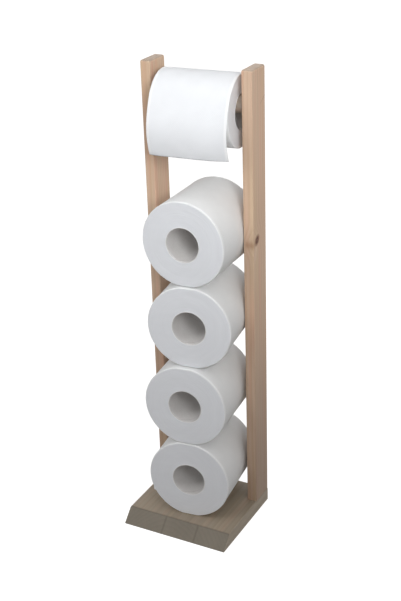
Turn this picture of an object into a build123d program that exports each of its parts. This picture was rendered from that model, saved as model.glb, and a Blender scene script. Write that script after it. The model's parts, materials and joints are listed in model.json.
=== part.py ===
from build123d import *

import math
import os

# Freestanding wooden toilet roll holder with its rolls, in millimetres, +Z up, the front towards -Y.
# The origin is the centre of the base board's underside.
# Two flat uprights stand on a bevelled base board. A round bar lies in slanting slots cut into
# the uprights' inner faces from behind, and carries the roll in use. Four spare rolls lie in a
# stack in the bay between the uprights, each free to be drawn out to the front.

# Paper rolls
roll_length = 103.0          # width of the paper, along the roll's own axis
roll_radius = 56.0           # a full roll, where nothing presses on it
roll_squash = 1.0            # how much a stacked roll is pressed flat, at its top and at its bottom
roll_edge_radius = 1.6       # soft outer edge at both ends of a winding
core_bore_radius = 22.0
core_wall = 0.8
core_seat_clearance = 0.05   # between the cardboard core and the paper wound on it
core_recess = 0.6            # how far a core's ends lie inside the winding
top_roll_radius = 45.0       # the roll in use, partly used up
top_roll_swing = 0.4         # how far it has swung round on its bar, as a share of its free play
spare_gap = 0.3              # between a spare roll and what it lies on

# Where each spare roll lies, from the top of the stack down: its sideways lean at the front and
# at the rear of the uprights, as shares of the free play, and how far it stands out behind them
spare_rests = [
    (1.0, 0.84, 10.5),
    (1.0, -0.26, 7.0),
    (-0.18, -1.0, 0.5),
    (0.0, -1.0, -0.2),
]
bay_play = 10.0              # how much wider the bay is than a full roll
bay_clearance = 0.35         # least room kept between a leaning roll and an upright

# Base board
base_depth = 136.0
base_thickness = 18.0
base_bevel_run = 17.5        # how far the sloping front face runs back on its way up
base_toe_height = 1.2        # narrow upright strip left below the slope
base_toe_radius = 0.5
base_edge_radius = 1.5

# Uprights
upright_thickness = 14.0
upright_depth = 36.0
upright_above_bar = 46.0     # from the bar's centre to the uprights' tops
upright_edge_radius = 1.5
upright_top_radius = 2.5

# Roll bar and its slots
bar_core_play = 11.0         # room all round the bar in a core
finger_room = 39.1           # between the stack and a full roll on the bar
bar_setback = 19.0           # from the uprights' rear edge to the bar's centre
bar_clearance = 0.1          # all round the bar in its slots
bar_end_play = 0.5           # between each end of the bar and the bottom of its slot
bar_chamfer = 1.0
bar_roll_gap = 0.3           # between the top of the bar and the core that hangs on it
slot_depth = 7.0
slot_slope = 30.0            # degrees, up from the seat to the mouth at the rear

# Loose outer sheet of the roll in use, as it hangs: over the top and down the front
sheet_thickness = 0.6
sheet_gap = 0.3              # between the sheet and the winding below it
sheet_start_angle = 205.0    # degrees round the roll's axis, from straight ahead up and over
sheet_leave_angle = 26.0     # where the sheet leaves the winding
sheet_slack_radius = 144.0   # the gentle bow where it has just left
sheet_slack_turn = 10.0
sheet_curl_radius = 71.0     # the tighter curl down to the torn edge
sheet_curl_turn = 38.5

# Countersunk wood screws, up through the base board into the uprights' ends
screw_crest_diameter = 4.0
screw_root_diameter = 2.8
screw_length = 45.0
screw_plain_length = 17.0
screw_head_diameter = 8.0
screw_head_edge = 0.5        # thin straight rim of the head
screw_recess = 0.5           # how far the head lies inside the underside
screw_pitch = 2.0
screw_point_length = 4.0
screw_clearance = 0.05
screws_per_upright = 2
screw_spacing = 18.0         # along the upright's depth
drive_span = 4.4             # cross-shaped drive recess
drive_width = 1.0
drive_depth = 1.8

# Sizes that follow
spare_count = len(spare_rests)
spare_half_height = roll_radius - roll_squash
bay_width = max(2 * roll_radius, roll_length) + bay_play
base_width = bay_width + 2 * upright_thickness
rear_y = base_depth / 2
front_y = -base_depth / 2
upright_front_y = rear_y - upright_depth
upright_middle_x = (bay_width + upright_thickness) / 2
stack_pitch = 2 * spare_half_height + spare_gap
stack_top = base_thickness + spare_count * stack_pitch + roll_squash
bar_radius = core_bore_radius - bar_core_play
bar_reach = bar_core_play - bar_roll_gap
bar_y = rear_y - bar_setback
bar_z = stack_top + finger_room + roll_radius + bar_reach
holder_height = bar_z + upright_above_bar
bar_length = bay_width + 2 * (slot_depth - bar_end_play)
winding_bore_radius = core_bore_radius + core_wall + core_seat_clearance

# The roll in use has swung round a little, so its core hangs on the bar by both of its ends
top_roll_yaw = math.degrees(math.asin(top_roll_swing * bar_reach / (roll_length / 2)))
top_roll_z = bar_z - bar_reach * math.sqrt(1 - top_roll_swing ** 2)


def along_y(length, radius):
    """A cylinder along Y, centred on the origin."""
    return Rot(90, 0, 0) * Cylinder(radius, length)


def along_x(length, radius):
    """A cylinder along X, centred on the origin."""
    return Rot(0, 90, 0) * Cylinder(radius, length)


def make_base_board():
    """The board that all stands on: square at the back and sides, with a sloping front face."""
    outline = Polyline(
        (rear_y, 0),
        (front_y, 0),
        (front_y, base_toe_height),
        (front_y + base_bevel_run, base_thickness),
        (rear_y, base_thickness),
        close=True,
    )
    profile = make_face(Plane.YZ * outline)
    board = Pos(-base_width / 2, 0, 0) * extrude(profile, base_width, dir=(1, 0, 0))
    toe = board.edges().filter_by(Axis.X).sort_by(Axis.Y)[:2]
    board = fillet(toe, base_toe_radius)
    board = fillet(board.faces().sort_by(Axis.Z)[-1].edges(), base_edge_radius)
    for side in (-1, 1):
        for x, y in screw_places(side):
            board -= Pos(x, y, 0) * make_screw_hole()
    return board


def make_upright(side):
    """One upright, with its slanting bar slot on the inner face and pilot holes in its foot."""
    height = holder_height - base_thickness
    middle_y = (rear_y + upright_front_y) / 2
    blank = Box(upright_thickness, upright_depth, height, align=(Align.CENTER, Align.CENTER, Align.MIN))
    blank = fillet(blank.edges().filter_by(Axis.Z), upright_edge_radius)
    top_edges = blank.faces().sort_by(Axis.Z)[-1].edges()
    blank = fillet(top_edges, min(upright_top_radius, upright_thickness / 3))
    upright = Pos(side * upright_middle_x, middle_y, base_thickness) * blank
    upright -= make_bar_slot(side)
    for x, y in screw_places(side):
        upright -= Pos(x, y, 0) * make_screw_hole()
    return upright


def make_bar_slot(side):
    """The room that the bar's end slides in: a round seat with a way out, up and to the rear."""
    radius = bar_radius + bar_clearance
    way_out = (bar_setback + 2 * bar_radius) / math.cos(math.radians(slot_slope))
    seat = along_x(2 * slot_depth, radius)
    way = Box(2 * slot_depth, way_out, 2 * radius, align=(Align.CENTER, Align.MIN, Align.CENTER))
    return Pos(side * bay_width / 2, bar_y, bar_z) * Rot(slot_slope, 0, 0) * (seat + way)


def screw_places(side):
    """Where one upright's screws stand, in a row along its depth."""
    middle_y = (rear_y + upright_front_y) / 2
    first = middle_y - screw_spacing * (screws_per_upright - 1) / 2
    return [(side * upright_middle_x, first + place * screw_spacing) for place in range(screws_per_upright)]


def revolved(points):
    """The solid that a closed outline of (radius, height) points makes when it turns about Z."""
    profile = make_face(Plane.XZ * Polyline(*points, close=True))
    return revolve(profile, Axis.Z)


def make_screw_hole():
    """Countersink, clearance hole and pilot hole in one, from the underside up."""
    crest = screw_crest_diameter / 2 + screw_clearance
    head = screw_head_diameter / 2 + screw_clearance
    rim_top = screw_recess + screw_head_edge
    return revolved([
        (0, -screw_recess),
        (head, -screw_recess),
        (head, rim_top),
        (crest, rim_top + head - crest),
        (crest, screw_recess + screw_length + screw_clearance),
        (0, screw_recess + screw_length + screw_clearance),
    ])


def make_screw():
    """One countersunk screw, head down, with a ridged thread, a point and a cross recess."""
    crest = screw_crest_diameter / 2
    root = screw_root_diameter / 2
    head = screw_head_diameter / 2
    rim_top = screw_recess + screw_head_edge
    tip = screw_recess + screw_length
    points = [(0, screw_recess), (head, screw_recess), (head, rim_top), (crest, rim_top + head - crest)]
    thread_start = screw_recess + screw_plain_length
    points.append((crest, thread_start))
    threaded = screw_length - screw_plain_length - screw_point_length
    ridges = max(1, int(threaded / screw_pitch))
    pitch = threaded / ridges
    for ridge in range(ridges):
        low = thread_start + ridge * pitch
        points.append((root, low + pitch / 4))
        points.append((root, low + pitch / 2))
        points.append((crest, low + pitch * 3 / 4))
        if ridge < ridges - 1:
            points.append((crest, low + pitch))
    points.append((root, tip - screw_point_length))
    points.append((0, tip))
    drive = Box(drive_span, drive_width, 2 * drive_depth) + Box(drive_width, drive_span, 2 * drive_depth)
    return revolved(points) - Pos(0, 0, screw_recess) * drive


def make_roll_bar():
    """The round bar that the roll in use hangs on."""
    bar = along_x(bar_length, bar_radius)
    bar = chamfer(bar.edges().filter_by(GeomType.CIRCLE), bar_chamfer)
    return Pos(0, bar_y, bar_z) * bar


def make_winding(radius):
    """A wound roll of paper about Y with softly rounded ends and its bore."""
    winding = along_y(roll_length, radius)
    winding = fillet(winding.edges().filter_by(GeomType.CIRCLE), roll_edge_radius)
    return winding - along_y(2 * roll_length, winding_bore_radius)


def make_core():
    """The cardboard tube inside a roll, about Y."""
    length = roll_length - 2 * core_recess
    return along_y(length, core_bore_radius + core_wall) - along_y(2 * length, core_bore_radius)


def spare_place(index):
    """Where a spare roll lies, with its axis along the placed Y; index 0 is the top of the stack."""
    lean_front, lean_rear, overhang = spare_rests[index]
    straight_play = bay_width / 2 - roll_radius - bay_clearance
    widest_yaw = math.atan2((lean_front - lean_rear) * straight_play, upright_depth)
    play = bay_width / 2 - roll_radius / math.cos(widest_yaw) - bay_clearance
    front_x = lean_front * play
    yaw = math.atan2((lean_front - lean_rear) * play, upright_depth)
    centre_y = rear_y + overhang - roll_length / 2 * math.cos(yaw)
    centre_x = front_x + (upright_front_y - centre_y) * math.tan(yaw)
    level = spare_count - 1 - index
    centre_z = base_thickness + spare_gap + spare_half_height + level * stack_pitch
    return Pos(centre_x, centre_y, centre_z) * Rot(0, 0, math.degrees(yaw))


def make_spare_winding(index):
    """A spare roll's paper, pressed flat where it lies on something or something lies on it."""
    winding = make_winding(roll_radius)
    wide = 2 * roll_radius
    below = Pos(0, 0, -spare_half_height) * Box(wide, wide * 2, wide, align=(Align.CENTER, Align.CENTER, Align.MAX))
    winding -= below
    if index > 0:
        winding -= Rot(180, 0, 0) * below
    return spare_place(index) * winding


def top_roll_place():
    """The roll in use: its axis lies along the bar, swung round by its yaw."""
    return Pos(0, bar_y, top_roll_z) * Rot(0, 0, top_roll_yaw - 90)


def sheet_stretches(offset):
    """The sheet's line at an offset from its middle, as (centre, radius, start, end) of each arc."""
    stretches = []
    centre = Vector(0, 0)
    turned = sheet_start_angle
    radius = top_roll_radius + sheet_gap + sheet_thickness / 2
    bends = [
        (radius, sheet_start_angle - sheet_leave_angle),
        (sheet_slack_radius, sheet_slack_turn),
        (sheet_curl_radius, sheet_curl_turn),
    ]
    for bend_radius, turn in bends:
        centre += Vector(radius - bend_radius, 0).rotate(Axis.Z, turned)
        radius = bend_radius
        stretches.append((centre, radius + offset, turned, turned - turn))
        turned -= turn
    return stretches


def sheet_point(centre, radius, angle):
    """A point on one of the sheet's arcs, in the roll's plane: ahead is -Y, up is +Z."""
    place = centre + Vector(radius, 0).rotate(Axis.Z, angle)
    return Vector(0, -place.X, place.Y)


def sheet_arcs(offset):
    """The edges of one side of the sheet."""
    return [
        ThreePointArc(
            sheet_point(centre, radius, start),
            sheet_point(centre, radius, (start + end) / 2),
            sheet_point(centre, radius, end),
        )
        for centre, radius, start, end in sheet_stretches(offset)
    ]


def make_loose_sheet():
    """The roll's outermost sheet, which lies over the top and hangs down in front."""
    inner = sheet_arcs(-sheet_thickness / 2)
    outer = sheet_arcs(sheet_thickness / 2)
    ends = [Line(inner[0] @ 0, outer[0] @ 0), Line(inner[-1] @ 1, outer[-1] @ 1)]
    section = make_face(inner + outer + ends)
    sheet = Pos(-roll_length / 2, 0, 0) * extrude(section, roll_length, dir=(1, 0, 0))
    return Pos(0, bar_y, top_roll_z) * Rot(0, 0, top_roll_yaw) * sheet


def write_part(shape, name):
    """Write one named piece, or one group of like pieces, to its own file."""
    export_step(shape, f"parts/{name}.step")


os.makedirs("parts", exist_ok=True)
write_part(make_base_board(), "base_board")
write_part(make_upright(-1), "left_upright")
write_part(make_upright(1), "right_upright")
screws = [Pos(x, y, 0) * make_screw() for side in (-1, 1) for x, y in screw_places(side)]
write_part(Compound(children=screws), "upright_screws")
write_part(make_roll_bar(), "roll_bar")
write_part(top_roll_place() * make_winding(top_roll_radius), "top_roll_paper")
write_part(top_roll_place() * make_core(), "top_roll_core")
write_part(make_loose_sheet(), "loose_sheet")
for spare in range(spare_count):
    write_part(make_spare_winding(spare), f"spare_roll_{spare + 1}_paper")
    write_part(spare_place(spare) * make_core(), f"spare_roll_{spare + 1}_core")
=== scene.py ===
"""Dresses the toilet roll holder: planed softwood, wound tissue, cardboard cores and soft studio light."""

import json
import logging
import math
from collections.abc import Callable
from dataclasses import dataclass, field
from enum import Enum

import bmesh
import bpy
from mathutils import Matrix, Vector


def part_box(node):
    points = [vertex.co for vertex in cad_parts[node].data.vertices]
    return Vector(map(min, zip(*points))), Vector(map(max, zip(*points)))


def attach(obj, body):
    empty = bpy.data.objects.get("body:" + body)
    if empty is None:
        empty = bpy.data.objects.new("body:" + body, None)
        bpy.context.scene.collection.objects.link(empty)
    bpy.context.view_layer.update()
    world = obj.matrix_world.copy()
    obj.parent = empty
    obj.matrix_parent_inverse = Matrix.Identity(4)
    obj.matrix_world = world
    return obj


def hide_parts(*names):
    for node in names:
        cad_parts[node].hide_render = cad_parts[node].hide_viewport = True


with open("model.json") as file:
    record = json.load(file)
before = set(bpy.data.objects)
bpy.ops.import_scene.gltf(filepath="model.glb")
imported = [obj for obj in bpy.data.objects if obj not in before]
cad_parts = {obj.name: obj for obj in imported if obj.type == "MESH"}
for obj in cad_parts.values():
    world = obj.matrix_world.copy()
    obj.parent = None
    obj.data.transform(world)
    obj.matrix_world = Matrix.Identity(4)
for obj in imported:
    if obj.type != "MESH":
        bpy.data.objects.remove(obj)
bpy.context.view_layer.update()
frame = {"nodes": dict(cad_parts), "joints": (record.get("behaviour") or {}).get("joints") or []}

LOG = logging.getLogger("toilet_roll_holder")
MM = 0.001
Colour = tuple[float, float, float, float]


def paint(red: int, green: int, blue: int) -> Colour:
    """Turns a screen colour of 0 to 255 into the linear colour that a shader takes.

    Args:
        red: Red as it shows on a screen.
        green: Green as it shows on a screen.
        blue: Blue as it shows on a screen.

    Returns:
        The linear colour with full alpha.
    """
    linear = [(((part / 255) + 0.055) / 1.055) ** 2.4 for part in (red, green, blue)]
    return (*linear, 1.0)


def operator(operation: str, swapped: bool = False) -> Callable[["Wire", "Wire | float"], "Wire"]:
    """Makes the method behind one piece of arithmetic on a wire.

    Args:
        operation: The Math node's operation.
        swapped: Whether the other value comes first.

    Returns:
        A method that adds the Math node and returns its output.
    """

    def method(self: "Wire", other: "Wire | float") -> "Wire":
        """Adds the Math node."""
        return self.bench.math(operation, *((other, self) if swapped else (self, other)))

    return method


class Wire:
    """A number that comes out of a node, on which Python arithmetic adds Math nodes."""

    def __init__(self, bench: "Bench", socket: bpy.types.NodeSocket) -> None:
        """Keeps the socket and the bench whose tree it is in."""
        self.bench = bench
        self.socket = socket

    __add__ = operator("ADD")
    __radd__ = operator("ADD", swapped=True)
    __sub__ = operator("SUBTRACT")
    __rsub__ = operator("SUBTRACT", swapped=True)
    __mul__ = operator("MULTIPLY")
    __rmul__ = operator("MULTIPLY", swapped=True)
    __truediv__ = operator("DIVIDE")
    __pow__ = operator("POWER")
    least = operator("MINIMUM")
    most = operator("MAXIMUM")

    def __neg__(self) -> "Wire":
        """Turns the sign round."""
        return self.bench.math("MULTIPLY", self, -1.0)

    def __abs__(self) -> "Wire":
        """Drops the sign."""
        return self.bench.math("ABSOLUTE", self)

    def rise(self, low: "Wire | float", high: "Wire | float") -> "Wire":
        """Climbs smoothly from 0 at low to 1 at high.

        Args:
            low: Where the climb starts.
            high: Where it ends.

        Returns:
            A number from 0 to 1.
        """
        sockets = {"Value": self, "From Min": low, "From Max": high}
        return self.bench.wire("ShaderNodeMapRange", {"interpolation_type": "SMOOTHSTEP"}, sockets)

    def share(self, low: float, high: float) -> "Wire":
        """Climbs evenly from 0 at low to 1 at high, and stays there.

        Args:
            low: Where the climb starts.
            high: Where it ends.

        Returns:
            A number from 0 to 1.
        """
        return self.bench.wire("ShaderNodeMapRange", {}, {"Value": self, "From Min": low, "From Max": high})


class Bench:
    """Makes and joins the nodes of one shader or geometry tree."""

    def __init__(self, tree: bpy.types.NodeTree) -> None:
        """Keeps the tree that the nodes go into."""
        self.tree = tree

    def node(self, kind: str, settings: dict | None = None, sockets: dict | None = None) -> bpy.types.Node:
        """Makes one node.

        Args:
            kind: The node's type.
            settings: Its own settings, which are set first.
            sockets: Values or wires for its inputs, by name or number.

        Returns:
            The new node.
        """
        made = self.tree.nodes.new(kind)
        for name, value in (settings or {}).items():
            setattr(made, name, value)
        for key, value in (sockets or {}).items():
            if isinstance(value, Wire):
                self.tree.links.new(value.socket, made.inputs[key])
            else:
                made.inputs[key].default_value = value
        return made

    def wire(
        self,
        kind: str,
        settings: dict | None = None,
        sockets: dict | None = None,
        output: int | str = 0,
    ) -> Wire:
        """Makes one node and returns one of its outputs.

        Args:
            kind: The node's type.
            settings: Its own settings.
            sockets: Values or wires for its inputs.
            output: The output's number or name.

        Returns:
            The output as a wire.
        """
        return Wire(self, self.node(kind, settings, sockets).outputs[output])

    def math(self, operation: str, *values: Wire | float) -> Wire:
        """One Math node on one, two or three values."""
        return self.wire("ShaderNodeMath", {"operation": operation}, dict(enumerate(values)))

    def vector(self, x: Wire | float, y: Wire | float, z: Wire | float) -> Wire:
        """Three numbers as one vector."""
        return self.wire("ShaderNodeCombineXYZ", {}, {"X": x, "Y": y, "Z": z})

    def parts(self, vector: Wire) -> tuple[Wire, Wire, Wire]:
        """A vector's three numbers."""
        split = self.node("ShaderNodeSeparateXYZ", {}, {0: vector})
        return tuple(Wire(self, output) for output in split.outputs)

    def noise(self, x: Wire | float, y: Wire | float, z: Wire | float, detail: float = 2.0) -> Wire:
        """Smooth noise about 0, from roughly -0.5 to 0.5, with one lump per unit.

        Args:
            x: First place in the noise.
            y: Second place.
            z: Third place.
            detail: How many finer layers lie on it.

        Returns:
            The noise there.
        """
        sockets = {"Vector": self.vector(x, y, z), "Scale": 1.0, "Detail": detail}
        return self.wire("ShaderNodeTexNoise", {}, sockets) - 0.5

    def mix(self, share: Wire | float, first: Wire | Colour, second: Wire | Colour) -> Wire:
        """Mixes two colours.

        Args:
            share: How much of the second one there is.
            first: The first colour.
            second: The second colour.

        Returns:
            The mixed colour.
        """
        settings = {"data_type": "RGBA", "blend_type": "MIX", "clamp_factor": True}
        return self.wire("ShaderNodeMix", settings, {0: share, 6: first, 7: second}, 2)


class SurfaceBench(Bench):
    """The bench for one material."""

    def __init__(self, name: str) -> None:
        """Starts an empty material of that name.

        Args:
            name: The material's name.
        """
        self.material = bpy.data.materials.new(name)
        self.material.use_nodes = True
        super().__init__(self.material.node_tree)
        self.tree.nodes.clear()

    def carried(self, name: str, output: str = "Vector") -> Wire:
        """A value that the mesh's points carry under a name."""
        return self.wire("ShaderNodeAttribute", {"attribute_name": name}, None, output)

    def finish(
        self,
        colour: Wire | Colour,
        roughness: Wire | float,
        relief: Wire | None = None,
        depth: float = 0.0,
        **fixed: float,
    ) -> bpy.types.Material:
        """Ends the material in one principled surface.

        Args:
            colour: Its base colour.
            roughness: Its roughness.
            relief: The height of its fine relief, from about 0 to 1.
            depth: How deep the relief is, in metres.
            **fixed: Other inputs that are the same all over, with underscores for spaces.

        Returns:
            The finished material.
        """
        sockets = {"Base Color": colour, "Roughness": roughness}
        sockets.update({name.replace("_", " "): value for name, value in fixed.items()})
        if relief is not None:
            bump = {"Strength": 1.0, "Distance": depth, "Height": relief}
            sockets["Normal"] = self.wire("ShaderNodeBump", {}, bump)
        surface = self.wire("ShaderNodeBsdfPrincipled", {}, sockets)
        self.node("ShaderNodeOutputMaterial", {}, {"Surface": surface})
        return self.material


class Grain(Enum):
    """Which way a board's grain runs, as the order of along, across and through."""

    SIDEWAYS = (0, 1, 2)
    BACKWARDS = (1, 0, 2)
    UPWARDS = (2, 0, 1)


@dataclass(frozen=True)
class Spot:
    """A place in a board: along its grain, across the board and through it."""

    along: Wire
    across: Wire
    through: Wire


@dataclass(frozen=True)
class Knot:
    """A branch that the saw cut through, seen on a face that looks sideways."""

    across: float
    through: float
    along: float
    half_width: float = 5.0 * MM
    half_length: float = 5.6 * MM
    reach: float = 9 * MM
    lean: float = 0.22
    stain: Colour = paint(150, 108, 78)
    streak: Colour = paint(226, 200, 186)
    edge: Colour = paint(128, 88, 64)
    heart: tuple[Colour, Colour] = (paint(84, 56, 42), paint(132, 94, 72))


@dataclass(frozen=True)
class Check:
    """A short dark line in a face that looks sideways, from one place to another."""

    face: float
    start: tuple[float, float]
    end: tuple[float, float]
    half_width: float = 0.45 * MM


@dataclass(frozen=True)
class Softwood:
    """Planed pine whose growth rings run through the whole piece.

    Its fibres, flecks and patches are counted to the metre.
    """

    name: str
    grain: Grain
    pale: Colour
    deep: Colour
    pith: tuple[float, float]
    end: Colour = paint(186, 166, 148)
    blush: Colour = paint(214, 168, 144)
    straw: Colour = paint(208, 184, 150)
    crack: Colour = paint(116, 90, 74)
    # The colour of the painted shade at the foot.
    painted_shade: Colour = paint(112, 92, 78)
    glue: Colour = paint(84, 72, 60)
    ring: float = 3.6 * MM
    contrast: float = 0.26
    tinted: float = 1.0
    foot_shade: float = 0.0
    side_shade: float = 0.0
    shade_height: float = 380 * MM
    fibres: float = 760.0
    flecks: float = 2300.0
    patches: float = 34.0
    relief: float = 0.1 * MM
    joints: tuple[float, ...] = ()
    arris: tuple[float, float] | None = None
    knots: tuple[Knot, ...] = ()
    checks: tuple[Check, ...] = ()
    seed: float = 0.0

    def material(self) -> bpy.types.Material:
        """Builds the wood from rings, fibres, slow changes of tint, knots and end grain.

        Returns:
            The finished material.
        """
        bench = SurfaceBench(self.name)
        place = bench.parts(bench.wire("ShaderNodeTexCoord", output="Object"))
        along, across, through = (place[part] for part in self.grain.value)
        spot = Spot(along, across, through)
        cut = self._cut(bench)
        stave = self._stave(bench, across)
        late = self._rings(bench, spot, stave)
        fibre = bench.noise(across * self.fibres, through * self.fibres, along * 11 + self.seed)
        fleck = bench.noise(across * self.flecks, through * self.flecks, along * 60, 1.0).rise(0.12, 0.3)
        patch = bench.noise(across * self.patches, through * self.patches, along * 6 + self.seed)
        long_grain = 1 - cut
        depth = 0.3 + late * self.contrast * (1 - cut * 0.72) + patch * 0.42
        depth = depth + (fibre * 0.34 + fleck * 0.1) * long_grain
        depth = depth + bench.math("SINE", stave * 2.3) * 0.05
        colour = bench.mix(depth.share(0.0, 1.0), self.pale, self.deep)
        colour = self._tints(bench, colour, spot)
        end_share = (cut * (0.86 + fibre * 0.1)).share(0.0, 1.0)
        colour = bench.mix(end_share, colour, self._end_tone(bench, late, patch))
        for knot in self.knots:
            colour = self._knot(bench, knot, colour, spot)
        colour = bench.mix(self._checks(place) * 0.5, colour, self.crack)
        # Painted shade: the lower part of the piece darkens towards the foot, and its sideways faces more,
        # standing in for light that falls off low down.
        if self.foot_shade:
            low = 1 - along.rise(0.0, self.shade_height)
            share = low * (self._facing(bench, 0) * self.side_shade + self.foot_shade)
            colour = bench.mix(share, colour, self.painted_shade)
        colour = bench.mix(self._joint_lines(place, across, cut), colour, self.glue)
        relief = fibre * 0.6 * long_grain + late * 0.35 + 0.4
        rough = 0.58 + fibre * 0.16 - late * 0.05
        return bench.finish(colour, rough, relief, self.relief, Specular_IOR_Level=0.3)

    @staticmethod
    def _facing(bench: Bench, direction: int) -> Wire:
        """How squarely a face looks along X, Y or Z, given as 0, 1 or 2."""
        return abs(bench.parts(bench.wire("ShaderNodeTexCoord", output="Normal"))[direction])

    def _cut(self, bench: Bench) -> Wire:
        """1 on the faces that cut across the grain, 0 along it."""
        return self._facing(bench, self.grain.value[0]).rise(0.3, 0.62)

    def _stave(self, bench: Bench, across: Wire) -> Wire:
        """Numbers the staves of a glued board from 0, counted across its glue joints.

        Args:
            bench: The material's bench.
            across: The place across the board.

        Returns:
            The stave's number.
        """
        number = across * 0.0
        for joint in self.joints:
            number = number + bench.math("GREATER_THAN", across, joint)
        return number

    def _rings(self, bench: Bench, spot: Spot, stave: Wire) -> Wire:
        """The dense late wood of each year's ring, which bends round the knots.

        Args:
            bench: The material's bench.
            spot: The place in the board.
            stave: The stave's number.

        Returns:
            0 in the early wood, up to 1 at the end of each ring.
        """
        drift = spot.along * 2.2 + self.seed + stave * 3.1
        wander = bench.noise(spot.across * 18, spot.through * 18, drift, 3.0)
        off_across = spot.across - self.pith[0] + stave * (21 * MM)
        off_through = spot.through - self.pith[1] + stave * (13 * MM)
        radius = (off_across * off_across + off_through * off_through) ** 0.5
        radius = radius + wander * (2.2 * self.ring)
        for knot in self.knots:
            wide, tall, inward = self._from_knot(knot, spot)
            away = wide * wide * 0.12 + tall * tall * 0.12 + inward * inward * 0.3
            radius = radius + bench.math("EXPONENT", -away) * (2.4 * self.ring)
        spread = bench.noise(radius / (4 * self.ring), self.seed, 0.0, 1.0)
        turn = bench.math("FRACT", radius / self.ring + spread * 1.6)
        return turn.rise(0.2, 0.92) * (1 - turn.rise(0.92, 1.0))

    def _tints(self, bench: Bench, colour: Wire, spot: Spot) -> Wire:
        """Lays long rosy and straw-coloured zones over the wood.

        Args:
            bench: The material's bench.
            colour: The wood's colour so far.
            spot: The place in the board.

        Returns:
            The colour with the zones on it.
        """
        along, across, through = spot.along, spot.across, spot.through
        rosy = bench.noise(across * 150 + 7.0, through * 150, along * 5 + self.seed, 1.0)
        straw = bench.noise(across * 130 + 31.0, through * 130, along * 4 + self.seed, 1.0)
        colour = bench.mix(rosy.rise(-0.04, 0.22) * (0.5 * self.tinted), colour, self.blush)
        return bench.mix(straw.rise(-0.02, 0.22) * (0.42 * self.tinted), colour, self.straw)

    def _end_tone(self, bench: Bench, late: Wire, patch: Wire) -> Wire:
        """The greyer tone of the cut ends."""
        darker = (*(part * 0.72 for part in self.end[:3]), 1.0)
        return bench.mix((0.3 + late * 0.22 + patch * 0.9).share(0.0, 1.0), self.end, darker)

    @staticmethod
    def _from_knot(knot: Knot, spot: Spot) -> tuple[Wire, Wire, Wire]:
        """How far a place is from a knot, in the knot's own widths, heights and depths.

        Args:
            knot: The knot.
            spot: The place in the board.

        Returns:
            The distances through the board, along its grain and across it.
        """
        rise = spot.along - knot.along
        side = spot.through - knot.through - rise * knot.lean
        inward = spot.across - knot.across
        return side / knot.half_width, rise / knot.half_length, inward / knot.reach

    def _knot(self, bench: Bench, knot: Knot, colour: Wire, spot: Spot) -> Wire:
        """Draws a knot with its rings, a stain beside it and a pale streak below.

        Args:
            bench: The material's bench.
            knot: The knot.
            colour: The wood's colour so far.
            spot: The place in the board.

        Returns:
            The colour with the knot in it.
        """
        wide, tall, inward = self._from_knot(knot, spot)
        depth_mask = 1 - abs(inward).rise(0.8, 1.15)
        distance = (wide * wide + tall * tall) ** 0.5
        edge = bench.noise(tall * 2.4, wide * 2.0, 2.0, 1.0) * 0.3
        stain_wide, stain_tall = wide + 1.9, tall + 0.8
        off_stain = stain_wide * stain_wide * 0.8 + stain_tall * stain_tall * 1.1
        stain = bench.math("EXPONENT", -off_stain)
        below = -tall
        streak = bench.math("EXPONENT", -(wide + 0.1) ** 2.0 * 3.0)
        streak = streak * below.rise(1.1, 1.9) * (1 - below.rise(3.0, 6.0))
        colour = bench.mix(stain * 0.5 * depth_mask, colour, knot.stain)
        colour = bench.mix(streak * 0.4 * depth_mask, colour, knot.streak)
        rim = (1 - abs(distance - 1.0).rise(0.1, 0.5)) * 0.5
        colour = bench.mix(rim * depth_mask, colour, knot.edge)
        rings = bench.math("SINE", (distance + edge) * 10) * 0.5 + 0.5
        heart = bench.mix(rings, *knot.heart)
        return bench.mix((1 - (distance + edge).rise(0.8, 1.05)) * depth_mask, colour, heart)

    def _checks(self, place: tuple[Wire, Wire, Wire]) -> Wire:
        """Where the short dark lines lie.

        Args:
            place: The place on the object, as X, Y and Z.

        Returns:
            Up to 1 in a line, and 0 away from it.
        """
        lines = place[0] * 0.0
        for check in self.checks:
            (start_y, start_z), (end_y, end_z) = check.start, check.end
            run_y, run_z = end_y - start_y, end_z - start_z
            length = math.hypot(run_y, run_z)
            off_y, off_z = place[1] - start_y, place[2] - start_z
            reach = ((off_y * run_y + off_z * run_z) / length ** 2).least(1.0).most(0.0)
            far_y, far_z = off_y - reach * run_y, off_z - reach * run_z
            distance = (far_y * far_y + far_z * far_z) ** 0.5
            width = (1 - reach * 0.7) * check.half_width
            near_face = 1 - abs(place[0] - check.face).rise(0.5 * MM, 2.5 * MM)
            lines = lines.most((1 - (distance / width).rise(0.3, 2.2)) * near_face)
        return lines

    def _joint_lines(self, place: tuple[Wire, Wire, Wire], across: Wire, cut: Wire) -> Wire:
        """A thin line at each glue joint, and a worn line along the arris.

        Args:
            place: The place on the object, as X, Y and Z.
            across: The place across the board.
            cut: 1 on the faces that cut across the grain.

        Returns:
            How strong the line is there, and 0 away from it.
        """
        lines = across * 0.0
        for joint in self.joints:
            blur = 1 - abs(across - joint).rise(0.2 * MM, 2.4 * MM)
            lines = lines.most(blur * (0.06 + cut * 0.24))
        if self.arris:
            off_y, off_z = place[1] - self.arris[0], place[2] - self.arris[1]
            distance = (off_y * off_y + off_z * off_z) ** 0.5
            lines = lines.most((1 - distance.rise(0.5 * MM, 2.0 * MM)) * 0.3)
        return lines


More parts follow.
